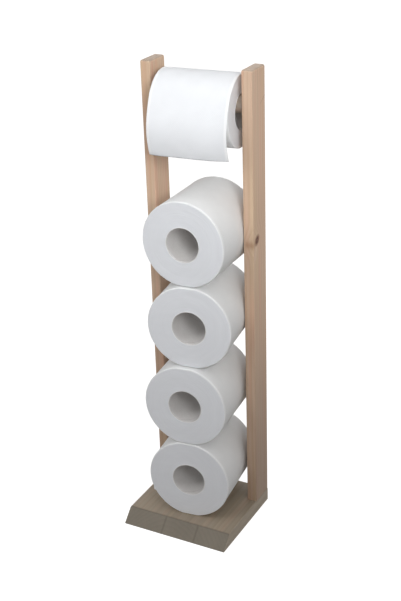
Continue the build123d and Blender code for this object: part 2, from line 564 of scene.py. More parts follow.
@dataclass(frozen=True)
class Tissue:
    """Soft white tissue: dotted crepe on its flat side, fine layers where a roll was cut.

    Its fluffs, clouds and creases are counted to the metre.
    """

    name: str
    sheet: Colour = paint(240, 241, 241)
    cut: Colour = paint(235, 237, 241)
    # Painted highlight colour for the band near each end of a roll.
    bright: Colour = paint(245, 246, 247)
    shadow: Colour = paint(150, 152, 156)
    layer: float = 0.5 * MM
    crepe: float = 0.55 * MM
    dots: float = 2.6 * MM
    half_length: float = 51.5 * MM
    highlight_start: float = 4.4 * MM
    highlight_full: float = 2.4 * MM
    fluffs: float = 1900.0
    clouds: float = 55.0
    creases: float = 40.0
    relief: float = 0.16 * MM
    roughness: float = 0.92

    def material(self) -> bpy.types.Material:
        """Builds the tissue on the places that the rolls and the loose sheet carry.

        Returns:
            The finished material.
        """
        bench = SurfaceBench(self.name)
        around, along, radius = bench.parts(bench.carried("paper_place"))
        end = bench.carried("cut_face", "Fac")
        flat = 1 - end
        layers = bench.noise(radius / self.layer, around * 14, 1.0)
        bands = bench.noise(radius / (9 * self.layer), around * 9, 5.0, 1.0)
        crepe = bench.noise(around / self.crepe, along * 110, 0.0)
        fluff = bench.noise(around * self.fluffs, along * self.fluffs, radius * self.fluffs)
        cloud = bench.noise(around * self.clouds, along * self.clouds, radius * 20)
        wave = math.tau / self.dots
        dots = bench.math("COSINE", around * wave) * bench.math("COSINE", along * wave)
        dots = dots.rise(0.35, 0.95)
        pressed = bench.noise(around * self.creases, along * self.creases, 9.0, 1.0).rise(-0.25, 0.15)
        height = (crepe * 0.5 + fluff * 0.25 - dots * pressed * 0.75) * flat
        height = height + (layers * 0.8 + fluff * 0.3) * end + 0.5
        shade = (layers * 0.5 + bands * 0.35) * end * 0.16 + crepe * flat * 0.03
        shade = shade + fluff * 0.02 + cloud * 0.09
        shade = shade - dots * pressed * flat * 0.03
        colour = bench.mix(end, self.sheet, self.cut)
        colour = bench.mix((0.07 - shade).share(0.0, 1.0), colour, self.shadow)
        # Painted highlight: the outer sheet is whitened in a band near each end of the roll, standing in
        # for the light that its rolled edge catches.
        from_end = self.half_length - abs(along)
        rim = (1 - from_end.rise(self.highlight_full, self.highlight_start)) * flat
        colour = bench.mix(rim * 0.8, colour, self.bright)
        return bench.finish(colour, self.roughness, height, self.relief, Specular_IOR_Level=0.15)


@dataclass(frozen=True)
class Cardboard:
    """Grey-beige core board, wound from strips whose seam runs round it as a helix.

    Its fibres, specks and mottles are counted to the metre.
    """

    name: str = "core_board"
    board: Colour = paint(224, 222, 221)
    shadow: Colour = paint(184, 179, 174)
    strip: float = 62 * MM
    bore: float = 22 * MM
    fibres: float = 420.0
    specks: float = 1500.0
    mottles: float = 60.0
    relief: float = 0.12 * MM
    roughness: float = 0.85

    def material(self) -> bpy.types.Material:
        """Builds the board from fibres, specks and the strip's seam.

        Returns:
            The finished material.
        """
        bench = SurfaceBench(self.name)
        around, along, radius = bench.parts(bench.carried("paper_place"))
        turn = bench.math("FRACT", along / self.strip + around / (math.tau * self.bore) + 0.5)
        seam = 1 - abs(turn - 0.5).rise(0.004, 0.014)
        fibre = bench.noise(around * self.fibres, along * self.fibres, radius * self.fibres, 3.0)
        speck = bench.noise(around * self.specks, along * self.specks, 0.0, 1.0).rise(0.14, 0.3)
        mottle = bench.noise(around * self.mottles, along * self.mottles, 3.0)
        shade = 0.18 + fibre * 0.35 + mottle * 0.3 + speck * 0.25 + seam * 0.4
        colour = bench.mix(shade.share(0.0, 1.0), self.board, self.shadow)
        relief = 0.5 + fibre * 0.5 - seam * 0.6
        return bench.finish(colour, self.roughness, relief, self.relief, Specular_IOR_Level=0.2)


@dataclass(frozen=True)
class ZincSteel:
    """Yellow-grey zinc plating with turning marks. Stains and marks are counted to the metre."""

    name: str = "zinc_steel"
    plating: Colour = paint(196, 188, 166)
    tarnish: Colour = paint(150, 146, 138)
    stains: float = 500.0
    marks: tuple[float, float] = (2500.0, 9000.0)
    relief: float = 0.02 * MM

    def material(self) -> bpy.types.Material:
        """Builds the plating with fine marks and slight stains.

        Returns:
            The finished material.
        """
        bench = SurfaceBench(self.name)
        x, y, z = bench.parts(bench.wire("ShaderNodeTexCoord", output="Object"))
        stain = bench.noise(x * self.stains, y * self.stains, z * self.stains, 3.0)
        marks = bench.noise(x * self.marks[0], y * self.marks[0], z * self.marks[1], 1.0)
        colour = bench.mix((0.3 + stain * 0.8).share(0.0, 1.0), self.plating, self.tarnish)
        rough = 0.36 + stain * 0.2 + marks * 0.08
        return bench.finish(colour, rough, marks + 0.5, self.relief, Metallic=1.0)


class GeometryBench(Bench):
    """The bench for one geometry tree with named inputs."""

    def __init__(self, name: str, inputs: dict[str, str]) -> None:
        """Starts a tree.

        Args:
            name: The tree's name.
            inputs: Each input's name and its socket type, such as Float or Material.
        """
        super().__init__(bpy.data.node_groups.new(name, "GeometryNodeTree"))
        self.identifiers = {}
        self._open("Geometry", "INPUT", "Geometry")
        for label, kind in inputs.items():
            self._open(label, "INPUT", kind)
        self._open("Geometry", "OUTPUT", "Geometry")
        entrance = self.tree.nodes.new("NodeGroupInput")
        self.given = {socket.name: Wire(self, socket) for socket in entrance.outputs if socket.name}

    def _open(self, label: str, way: str, kind: str) -> None:
        """Adds one socket to the tree and notes its identifier.

        Args:
            label: The socket's name.
            way: INPUT or OUTPUT.
            kind: Its type, such as Float.
        """
        socket = self.tree.interface.new_socket(label, in_out=way, socket_type=f"NodeSocket{kind}")
        if way == "INPUT":
            self.identifiers[label] = socket.identifier

    def grid(self, columns: int, rows: int) -> tuple[Wire, Wire, Wire]:
        """A flat grid to be bent into shape.

        Args:
            columns: Faces along its first side.
            rows: Faces along its second side.

        Returns:
            The grid, and each point's column and row, counted from 0.
        """
        sockets = {
            "Size X": float(columns),
            "Size Y": float(rows),
            "Vertices X": columns + 1,
            "Vertices Y": rows + 1,
        }
        mesh = self.wire("GeometryNodeMeshGrid", {}, sockets)
        x, y, _ = self.parts(self.wire("GeometryNodeInputPosition"))
        return mesh, x + columns / 2, y + rows / 2

    def stored(self, mesh: Wire, name: str, value: Wire, kind: str) -> Wire:
        """Keeps a value on the mesh's points under a name.

        Args:
            mesh: The mesh.
            name: The attribute's name.
            value: The value at each point.
            kind: Its data type, such as FLOAT.

        Returns:
            The mesh with the value on it.
        """
        settings = {"data_type": kind, "domain": "POINT"}
        sockets = {"Geometry": mesh, "Name": name, "Value": value}
        return self.wire("GeometryNodeStoreNamedAttribute", settings, sockets)

    def moved(self, mesh: Wire, x: Wire | float, y: Wire | float, z: Wire | float) -> Wire:
        """Moves the mesh's points to the given places."""
        place = self.vector(x, y, z)
        return self.wire("GeometryNodeSetPosition", {}, {"Geometry": mesh, "Position": place})

    def joined(self, *meshes: Wire) -> Wire:
        """Several geometries as one.

        Args:
            *meshes: The geometries, in order.

        Returns:
            All of them together.
        """
        join = self.node("GeometryNodeJoinGeometry")
        for mesh in reversed(meshes):
            self.tree.links.new(mesh.socket, join.inputs[0])
        return Wire(self, join.outputs[0])

    def walled(self, mesh: Wire, thickness: float) -> Wire:
        """Gives an open surface a wall on its inner side, closed all round.

        Args:
            mesh: The open surface.
            thickness: How thick the wall is.

        Returns:
            The closed wall.
        """
        settings = {"mode": "FACES"}
        sockets = {"Mesh": mesh, "Offset Scale": thickness, "Individual": False}
        wall = self.wire("GeometryNodeExtrudeMesh", settings, sockets)
        skin = self.wire("GeometryNodeFlipFaces", {}, {"Mesh": mesh})
        return self.welded(self.joined(wall, skin))

    def welded(self, mesh: Wire) -> Wire:
        """Merges the points that lie on each other."""
        return self.wire("GeometryNodeMergeByDistance", {}, {"Geometry": mesh, "Distance": 0.002 * MM})

    def close(self, mesh: Wire) -> None:
        """Ends the tree: turned into place, real meshes, smooth, in its material.

        Args:
            mesh: What the tree has made.
        """
        turn = self.vector(0.0, 0.0, self.given["Turn"])
        sockets = {"Geometry": mesh, "Translation": self.given["Place"], "Rotation": turn}
        placed = self.wire("GeometryNodeTransform", {}, sockets)
        real = self.wire("GeometryNodeRealizeInstances", {}, {"Geometry": placed})
        smooth = self.wire("GeometryNodeSetShadeSmooth", {}, {"Geometry": real, "Shade Smooth": True})
        finish = {"Geometry": smooth, "Material": self.given["Material"]}
        made = self.wire("GeometryNodeSetMaterial", {}, finish)
        self.node("NodeGroupOutput", {}, {0: made})

    def grow(
        self, name: str, values: dict[str, object], start: bpy.types.Mesh | None = None
    ) -> bpy.types.Object:
        """Runs the tree once and keeps the result as a plain mesh.

        Args:
            name: The new piece's name.
            values: A value for each named input.
            start: The mesh that the tree works on, if it needs one.

        Returns:
            The piece, with no modifier left on it.
        """
        piece = bpy.data.objects.new(name, start or bpy.data.meshes.new(name))
        bpy.context.scene.collection.objects.link(piece)
        modifier = piece.modifiers.new(name, "NODES")
        modifier.node_group = self.tree
        for label, value in values.items():
            modifier[self.identifiers[label]] = value
        graph = bpy.context.evaluated_depsgraph_get()
        mesh = bpy.data.meshes.new_from_object(piece.evaluated_get(graph))
        mesh.name = name
        piece.modifiers.remove(modifier)
        piece.data = mesh
        return piece


PLACING = {"Place": "Vector", "Turn": "Float", "Material": "Material"}
TUBE_SIZES = ("Radius", "Bore", "Length", "Rim", "Press Top", "Press Bottom", "Ripple", "Dish")
TUBE_SIZES += ("Ragged", "Seam", "Lip", "Dent", "Tab", "Seed")


@dataclass(frozen=True)
class Outline:
    """How many rows of faces each stretch of a tube's outline gets."""

    face: int
    corner: int
    outside: int
    bore: int

    def rows(self) -> int:
        """All rows round the outline."""
        return 2 * self.face + 2 * self.corner + self.outside + self.bore


@dataclass
class TubeTree:
    """Geometry nodes that turn a tube: rounded rims, rippled ends, and flats where it is pressed."""

    name: str
    outline: Outline
    around: int
    outer_turn: bool = False
    sheet: float = 0.22 * MM
    step: float = 0.45 * MM
    tail: float = math.radians(14)
    tail_columns: int = 8
    turn_rows: int = 44
    lip: tuple[float, float] = (2.2 * MM, 0.9 * MM)
    furrow: tuple[float, float] = (5.2 * MM, 1.6 * MM)
    tab_half_width: float = 0.035
    tab_reach: float = 3.2 * MM
    press_blend: float = 0.25 * MM
    bore_edge: float = 0.8 * MM
    ripple_width: float = 0.9 * MM
    dish_width: float = 12 * MM
    bench: GeometryBench = field(init=False)

    def __post_init__(self) -> None:
        """Builds the tree once."""
        self.bench = GeometryBench(self.name, {**dict.fromkeys(TUBE_SIZES, "Float"), **PLACING})
        parts = [self._tube()]
        if self.outer_turn:
            parts.append(self._outer_turn())
        self.bench.close(self.bench.joined(*parts))

    def _tube(self) -> Wire:
        """The wound tube itself, its outline carried once round.

        Returns:
            The tube.
        """
        bench, given = self.bench, self.bench.given
        mesh, column, row = bench.grid(self.around, self.outline.rows())
        angle = column * (math.tau / self.around)
        rim, length = given["Rim"], given["Length"]
        outside = given["Radius"] - self.step if self.outer_turn else given["Radius"]
        legs = self._legs(row)
        radius = given["Bore"] + (outside - rim - given["Bore"]) * (legs[0] - legs[4])
        first, second = legs[1] * (math.pi / 2), legs[3] * (math.pi / 2)
        radius = radius + rim * (bench.math("SINE", first) + bench.math("COSINE", second) - 1)
        along = rim * (1 - bench.math("COSINE", first) + bench.math("SINE", second))
        along = along + (length - 2 * rim) * legs[2] - length * legs[5] - length * 0.5
        face = radius.rise(given["Bore"], given["Bore"] + self.bore_edge)
        face = face * (1 - radius.rise(outside - rim, outside))
        side = bench.math("SIGN", along)
        x, z = bench.math("COSINE", angle), bench.math("SINE", angle)
        seed = given["Seed"]
        ripple = bench.noise(radius / self.ripple_width + side * 7, x * 0.8 + seed, z * 0.8, 1.0)
        dish = bench.noise(radius / self.dish_width + side * 3, x * 0.7 + seed, z * 0.7, 1.0)
        relief = (ripple - 0.2) * given["Ripple"] + (dish - 0.3) * given["Dish"]
        ragged = bench.noise(x * 3 + seed, z * 3, along * 9, 3.0) * given["Ragged"]
        shifted = along + side * relief * face + along / (length * 0.5) * ragged
        return self._placed(mesh, radius, angle, shifted, along, face)

    def _legs(self, row: Wire) -> list[Wire]:
        """How far the outline has come along each of its stretches, from 0 to 1.

        Args:
            row: Each point's row on the grid.

        Returns:
            A share for each stretch, in order.
        """
        shape = self.outline
        counts = [shape.face, shape.corner, shape.outside, shape.corner, shape.face, shape.bore]
        legs, start = [], 0
        for count in counts:
            legs.append(row.share(start, start + count))
            start += count
        return legs

    def _outer_turn(self) -> Wire:
        """The last sheet of a full roll, once round and a little over its own start.

        Returns:
            The sheet as a closed wall.
        """
        bench, given = self.bench, self.bench.given
        across = self.turn_rows
        mesh, column, row = bench.grid(self.around + self.tail_columns, across)
        share = column / (self.around + self.tail_columns)
        angle = given["Seam"] + share * (math.tau + self.tail)
        along = (row / across * 2 - 1) * 0.5
        crowd = bench.math("SINE", along * math.pi) * 0.5
        along = (along * 0.35 + crowd * 0.65) * (given["Length"] - 0.5 * given["Rim"])
        over = (abs(along) - (given["Length"] * 0.5 - given["Rim"])).most(0.0) / given["Rim"]
        fall = given["Rim"] * (1 - (1 - over * over) ** 0.5)
        loose = share.rise(0.985, 1.0) * 0.12 * MM
        x, z = bench.math("COSINE", angle), bench.math("SINE", angle)
        wave = bench.noise(x * 2 + given["Seed"], z * 2, along * 20, 1.0)
        radius = given["Radius"] - fall - self.sheet - (1 - share) * self.sheet * 0.8 + loose
        radius = radius + wave * 0.12 * MM - 0.06 * MM + self._edge_form(along, x, z)
        edge = (wave * 0.5 * MM + self._tab(angle, along)) * bench.math("SIGN", along)
        edge = edge * abs(along / (given["Length"] * 0.5)) ** 8.0
        surface = self._placed(mesh, radius, angle, along + edge, along, along * 0.0, weld=False)
        return bench.walled(surface, self.sheet)

    def _edge_form(self, along: Wire, x: Wire, z: Wire) -> Wire:
        """The lip that the saw leaves near both ends, the furrow inside it, and soft dents.

        Args:
            along: The place along the axis.
            x: The cosine of the angle round it.
            z: The sine of that angle.

        Returns:
            What they add to the radius.
        """
        bench, given = self.bench, self.bench.given
        from_end = given["Length"] * 0.5 - abs(along)
        (lip_at, lip_width), (furrow_at, furrow_width) = self.lip, self.furrow
        lip = bench.math("EXPONENT", -((from_end - lip_at) / lip_width) ** 2.0)
        furrow = bench.math("EXPONENT", -((from_end - furrow_at) / furrow_width) ** 2.0)
        dent = bench.noise(x * 2.2 + given["Seed"], z * 2.2, along * 32, 2.0).least(0.0)
        inside = (from_end / (14 * MM)).least(1.0)
        return given["Lip"] * (lip - furrow * 0.8) + dent * given["Dent"] * inside

    def _tab(self, angle: Wire, along: Wire) -> Wire:
        """A torn bit of the outer turn that stands out at the front edge.

        Args:
            angle: The angle round the axis.
            along: The place along the axis.

        Returns:
            How far the tab stands out there.
        """
        bench, given = self.bench, self.bench.given
        near = bench.math("EXPONENT", -((angle - given["Tab"]) / self.tab_half_width) ** 2.0)
        front = bench.math("GREATER_THAN", along, 0.0)
        return near * front * self.tab_reach

    def _placed(
        self,
        mesh: Wire,
        radius: Wire,
        angle: Wire,
        shifted: Wire,
        along: Wire,
        face: Wire,
        weld: bool = True,
    ) -> Wire:
        """Bends the grid round the axis, presses the flats and notes where each point is in the paper.

        Args:
            mesh: The flat grid.
            radius: Distance from the axis, before pressing.
            angle: Angle round the axis.
            shifted: Place along the axis.
            along: The same without the relief of the ends.
            face: 1 on the cut ends and 0 elsewhere.
            weld: Whether the grid's sides meet and are merged.

        Returns:
            The bent mesh.
        """
        bench, given = self.bench, self.bench.given
        around = bench.math("PINGPONG", angle, math.pi) * radius
        mesh = bench.stored(mesh, "paper_place", bench.vector(around, along, radius), "FLOAT_VECTOR")
        mesh = bench.stored(mesh, "cut_face", face, "FLOAT")
        depth = (radius - given["Bore"]) / (given["Radius"] - given["Bore"])
        high = bench.math("SINE", angle) * radius
        blend, top, bottom = self.press_blend, given["Press Top"], given["Press Bottom"]
        high = bench.math("SMOOTH_MIN", high, radius - top * depth, blend)
        high = -bench.math("SMOOTH_MIN", -high, radius - bottom * depth, blend)
        high = high.least(given["Radius"] - top).most(bottom - given["Radius"])
        mesh = bench.moved(mesh, bench.math("COSINE", angle) * radius, shifted, high)
        return bench.welded(mesh) if weld else mesh


@dataclass
class PaperRoll:
    """One roll: its winding and its core, in the places of the nodes they stand for."""

    body: str
    joint: str
    radius: float
    press_top: float = 0.0
    press_bottom: float = 0.0
    seam: float = 4.0
    tab: float = -1.0
    length: float = 103 * MM
    core_bore: float = 22 * MM
    core_wall: float = 0.8 * MM
    core_gap: float = 0.05 * MM
    core_recess: float = 0.6 * MM
    core_rim: float = 0.2 * MM
    core_ragged: float = 1.2 * MM
    rim: float = 1.6 * MM
    ripple: float = 0.22 * MM
    dish: float = 0.8 * MM
    lip: float = 0.28 * MM
    dent: float = 1.1 * MM
    seed: float = 0.0

    def heading(self) -> tuple[Vector, float]:
        """The roll's centre, and its turn about the vertical from lying front to back.

        Returns:
            The centre, and the turn in radians.
        """
        low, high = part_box(f"{self.body}_core")
        axis = Vector(next(j["axis"] for j in frame["joints"] if j["name"] == self.joint))
        return (low + high) / 2, math.atan2(-axis.x, axis.y)

    def build(
        self, winding: TubeTree, tube: TubeTree, tissue: bpy.types.Material, board: bpy.types.Material
    ) -> None:
        """Makes the roll's two pieces.

        Args:
            winding: The tree that makes windings.
            tube: The tree that makes cores.
            tissue: The paper's finish.
            board: The core's finish.
        """
        centre, turn = self.heading()
        shared = {**dict.fromkeys(TUBE_SIZES, 0.0), "Place": centre, "Turn": turn}
        shared.update({"Seed": self.seed, "Seam": self.seam})
        wound = {
            "Radius": self.radius,
            "Bore": self.core_bore + self.core_wall + self.core_gap,
            "Length": self.length,
            "Rim": self.rim,
            "Press Top": self.press_top,
            "Press Bottom": self.press_bottom,
            "Ripple": self.ripple,
            "Dish": self.dish,
            "Lip": self.lip,
            "Dent": self.dent,
            "Tab": self.tab,
            "Material": tissue,
        }
        core = {
            "Radius": self.core_bore + self.core_wall,
            "Bore": self.core_bore,
            "Length": self.length - 2 * self.core_recess,
            "Rim": self.core_rim,
            "Ragged": self.core_ragged,
            "Material": board,
        }
        self._keep(winding.bench.grow(f"{self.body}_winding", {**shared, **wound}), "paper")
        self._keep(tube.bench.grow(f"{self.body}_tube", {**shared, **core}), "core")

    def _keep(self, piece: bpy.types.Object, node: str) -> None:
        """Puts one piece on the roll's body in place of its node.

        Args:
            piece: The piece.
            node: The last part of the node's name.
        """
        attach(piece, self.body)
        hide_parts(f"{self.body}_{node}")
        LOG.info("%s: %d faces", piece.name, len(piece.data.polygons))


@dataclass
class LooseSheet:
    """The outermost sheet of the roll in use, over the top and down to its torn edge."""

    roll: PaperRoll
    gap: float = 0.3 * MM
    cad_thickness: float = 0.6 * MM
    thickness: float = 0.3 * MM
    start: float = math.radians(205)
    leave: float = math.radians(26)
    slack: tuple[float, float] = (144 * MM, math.radians(10))
    curl: tuple[float, float] = (71 * MM, math.radians(38.5))
    tooth: float = 0.5 * MM
    ragged: float = 0.7 * MM
    corner_lift: float = 1.6 * MM
    wave_lift: float = 2.2 * MM
    twist: float = 1.2 * MM
    step: float = 1.5 * MM
    free_from: float = 0.66
    columns: int = 206
    rows: int = 150
    width: float = field(init=False)
    length: float = field(init=False, default=0.0)

    def __post_init__(self) -> None:
        """The sheet is as wide as its roll."""
        self.width = self.roll.length

    def line(self) -> list[Vector]:
        """The sheet's side view, ahead along -Y and up along Z from the roll's axis.

        Returns:
            Points along its arcs, from behind the roll to the torn edge.
        """
        radius = self.roll.radius + self.gap + self.cad_thickness / 2
        centre = Vector((0.0, 0.0))
        angle = self.start
        points = []
        for bend, turn in ((radius, self.start - self.leave), self.slack, self.curl):
            towards = Vector((math.cos(angle), math.sin(angle)))
            centre = centre + towards * (radius - bend)
            radius = bend
            steps = max(4, round(radius * turn / self.step))
            for step in range(1 if points else 0, steps + 1):
                at = angle - turn * step / steps
                ahead = centre.x + radius * math.cos(at)
                points.append(Vector((0.0, -ahead, centre.y + radius * math.sin(at))))
            angle -= turn
            self.length += radius * turn
        return points

    def tree(self) -> GeometryBench:
        """Geometry nodes that carry the sheet's width along the line they are given.

        Returns:
            The bench of the finished tree.
        """
        bench = GeometryBench("loose_sheet_nodes", {"Width": "Float", "Length": "Float", **PLACING})
        given = bench.given
        mesh, column, row = bench.grid(self.columns, self.rows)
        share = row / self.rows
        side = column / self.columns - 0.5
        curve = bench.wire("GeometryNodeMeshToCurve", {}, {"Mesh": given["Geometry"]})
        settings = {"mode": "FACTOR", "data_type": "FLOAT"}
        sample = bench.node("GeometryNodeSampleCurve", settings, {"Curves": curve, "Factor": share})
        _, y, z = bench.parts(Wire(bench, sample.outputs["Position"]))
        _, run_y, run_z = bench.parts(Wire(bench, sample.outputs["Tangent"]))
        free = share.rise(self.free_from, 1.0)
        corner = (abs(side) * 2) ** 4.0
        wave = bench.noise(side * 3, share * 4, 1.0, 1.0)
        lift = free * free * (corner * self.corner_lift + wave * self.wave_lift) + free * side * self.twist
        torn = bench.math("LESS_THAN", bench.math("MODULO", column, 4.0), 1.5)
        ragged = bench.noise(column * 0.11, 3.0, 0.0) * self.ragged
        reach = bench.math("GREATER_THAN", share, 1 - 0.5 / self.rows) * (torn * self.tooth + ragged)
        y = y - run_z * lift + run_y * reach
        z = z + run_y * lift + run_z * reach
        across = side * given["Width"]
        flat_place = bench.vector(share * given["Length"], across, 0.0)
        mesh = bench.stored(mesh, "paper_place", flat_place, "FLOAT_VECTOR")
        mesh = bench.stored(mesh, "cut_face", share * 0.0, "FLOAT")
        mesh = bench.moved(mesh, across, y, z)
        bench.close(bench.walled(mesh, self.thickness))
        return bench

    def build(self, tissue: bpy.types.Material) -> None:
        """Makes the sheet and hangs it on the bar's body.

        Args:
            tissue: The sheet's finish.
        """
        centre, turn = self.roll.heading()
        points = self.line()
        start = bpy.data.meshes.new("loose_sheet_line")
        start.from_pydata(points, [(step, step + 1) for step in range(len(points) - 1)], [])
        values = {
            "Width": self.width,
            "Length": self.length,
            "Place": centre,
            "Turn": turn + math.pi / 2,
            "Material": tissue,
        }
        piece = self.tree().grow("loose_tissue_sheet", values, start)
        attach(piece, "bar")
        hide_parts("loose_sheet")
        LOG.info("%s: %.0f mm long when flat", piece.name, self.length / MM)


@dataclass
class Screws:
    """The countersunk screws under the base, one turned shape set out in two rows."""

    crest: float = 2.0 * MM
    root: float = 1.4 * MM
    head: float = 4.0 * MM
    head_edge: float = 0.5 * MM
    length: float = 45 * MM
    plain: float = 17 * MM
    point: float = 4 * MM
    pitch: float = 2 * MM
    spacing: float = 18 * MM
    edge_break: float = 0.15 * MM
    tip: float = 0.12 * MM
    sides: int = 32

    def outline(self) -> list[tuple[float, float]]:
        """The screw's half section as radius and height, from the head up.

        Returns:
            Points along the half section.
        """
        shoulder = self.head_edge + self.head - self.crest
        points = [(self.head - self.edge_break, 0.0), (self.head, self.edge_break)]
        points.append((self.head, self.head_edge))
        points += [(self.crest, shoulder), (self.crest, self.plain)]
        turns = int((self.length - self.plain - self.point) / self.pitch)
        for turn in range(turns):
            low = self.plain + turn * self.pitch
            points += [(self.root, low + self.pitch * part) for part in (0.2, 0.5)]
            points.append((self.crest, low + self.pitch * 0.85))
        points += [(self.root, self.length - self.point), (self.tip, self.length)]
        return points

    def blank(self) -> bpy.types.Mesh:
        """One screw about Z, its head at the bottom with a cross recess.

        Returns:
            The screw's mesh.
        """
        work = bmesh.new()
        rings = []
        for radius, height in self.outline():
            spots = [math.tau * side / self.sides for side in range(self.sides)]
            ring = [work.verts.new((radius * math.cos(a), radius * math.sin(a), height)) for a in spots]
            rings.append(ring)
        for low, high in zip(rings, rings[1:]):
            for side in range(self.sides):
                after = (side + 1) % self.sides
                work.faces.new((low[side], low[after], high[after], high[side]))
        work.faces.new(rings[-1])
        self._cross(work, rings[0])
        bmesh.ops.recalc_face_normals(work, faces=work.faces)
        mesh = bpy.data.meshes.new("screw_blank")
        work.to_mesh(mesh)
        work.free()
        return mesh

    def _cross(self, work: bmesh.types.BMesh, rim: list[bmesh.types.BMVert]) -> None:
        """Fills the head's rim with a flat that has a cross-shaped recess in it.

        Args:
            work: The mesh being made.
            rim: The points of the head's rim, in order.
        """
        arm, half, deep = 2.1 * MM, 0.5 * MM, 1.7 * MM
        corners = [(arm, -half), (arm, half), (half, half)]
        cross = []
        for quarter in range(4):
            turn = Matrix.Rotation(math.pi / 2 * quarter, 2)
            cross += [turn @ Vector(corner) for corner in corners]
        mouth = [work.verts.new((spot.x, spot.y, 0.0)) for spot in cross]
        floor = [work.verts.new((spot.x * 0.8, spot.y * 0.8, deep)) for spot in cross]
        edges = [work.edges.new((a, b)) for a, b in zip(mouth, mouth[1:] + mouth[:1])]
        rim_edges = [work.edges.get((a, b)) for a, b in zip(rim, rim[1:] + rim[:1])]
        bmesh.ops.triangle_fill(work, edges=edges + rim_edges, use_beauty=True)
        for side in range(len(cross)):
            after = (side + 1) % len(cross)
            work.faces.new((mouth[side], mouth[after], floor[after], floor[side]))
        work.faces.new(floor)

    def tree(self) -> GeometryBench:
        """Geometry nodes that set the screws out in two rows.

        Returns:
            The bench of the finished tree.
        """
        bench = GeometryBench("screw_nodes", {"Apart": "Float", "Spacing": "Float", **PLACING})
        given = bench.given
        sizes = {"Size X": given["Apart"], "Size Y": given["Spacing"], "Vertices X": 2, "Vertices Y": 2}
        spots = bench.wire("GeometryNodeMeshGrid", {}, sizes)
        turn = bench.wire("FunctionNodeRandomValue", {"data_type": "FLOAT"}, {2: 0.0, 3: 1.5, "Seed": 4}, 1)
        turned = bench.vector(0.0, 0.0, turn)
        sockets = {"Points": spots, "Instance": given["Geometry"], "Rotation": turned}
        bench.close(bench.wire("GeometryNodeInstanceOnPoints", {}, sockets))
        return bench

    def build(self, steel: bpy.types.Material) -> None:
        """Makes the screws where their node is.

        Args:
            steel: The screws' finish.
        """
        low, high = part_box("upright_screws")
        values = {
            "Apart": high.x - low.x - 2 * self.head,
            "Spacing": self.spacing,
            "Place": Vector(((low.x + high.x) / 2, (low.y + high.y) / 2, low.z)),
            "Turn": 0.0,
            "Material": steel,
        }
        piece = self.tree().grow("countersunk_screws", values, self.blank())
        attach(piece, "holder")
        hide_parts("upright_screws")
        LOG.info("%s: %d faces", piece.name, len(piece.data.polygons))


@dataclass
class Holder:
    """The wooden holder: its nodes keep their shape and get their wood."""

    pale: Colour = paint(220, 194, 170)
    deep: Colour = paint(187, 151, 124)
    # Painted shade: how strongly the uprights darken towards the foot, with their sideways faces darker
    # still.
    foot_shade: float = 0.3
    side_shade: float = 0.33
    bevel_run: float = 17.5 * MM

    def uprights(self) -> dict[str, Softwood]:
        """The two strips, each from its own tree trunk.

        Returns:
            Each upright's wood, by the name of its node.
        """
        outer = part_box("right_upright")[1].x
        branch = Knot(across=outer - 3 * MM, through=41.8 * MM, along=398 * MM)
        crack = Check(face=outer, start=(69 * MM, 577 * MM), end=(53.5 * MM, 567 * MM))
        shared = {
            "grain": Grain.UPWARDS,
            "pale": self.pale,
            "deep": self.deep,
            "foot_shade": self.foot_shade,
            "side_shade": self.side_shade,
        }
        right = Softwood(
            "right_upright_pine",
            pith=(outer - 52 * MM, 96 * MM),
            knots=(branch,),
            checks=(crack,),
            seed=3.7,
            **shared,
        )
        left = Softwood("left_upright_pine", pith=(-outer - 30 * MM, -20 * MM), seed=11.2, **shared)
        return {"right_upright": right, "left_upright": left}

    def base(self) -> Softwood:
        """The board, glued up from staves that run from front to back.

        Returns:
            The board's wood.
        """
        low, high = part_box("base_board")
        return Softwood(
            "base_board_pine",
            Grain.BACKWARDS,
            # Painted shade: the same pine as the uprights, given darker and greyer colours for the dim,
            # cool light that the low board stands in.
            paint(166, 154, 137),
            paint(140, 127, 110),
            pith=(6 * MM, -70 * MM),
            end=paint(132, 125, 113),
            ring=4.2 * MM,
            contrast=0.2,
            tinted=0.25,
            joints=(-19 * MM, 29 * MM),
            arris=(low.y + self.bevel_run, high.z),
            seed=21.0,
        )

    def bar(self) -> Softwood:
        """The turned bar.

        Returns:
            The bar's wood.
        """
        return Softwood(
            "roll_bar_pine",
            Grain.SIDEWAYS,
            paint(184, 172, 160),
            paint(154, 140, 127),
            pith=(60 * MM, 540 * MM),
            ring=2.4 * MM,
            tinted=0.4,
            seed=31.0,
        )

    def build(self) -> None:
        """Gives each wooden node its own wood."""
        woods = {**self.uprights(), "base_board": self.base(), "roll_bar": self.bar()}
        for node, wood in woods.items():
            slots = frame["nodes"][node].data.materials
            slots.clear()
            slots.append(wood.material())
            LOG.info("%s: %s", node, wood.name)


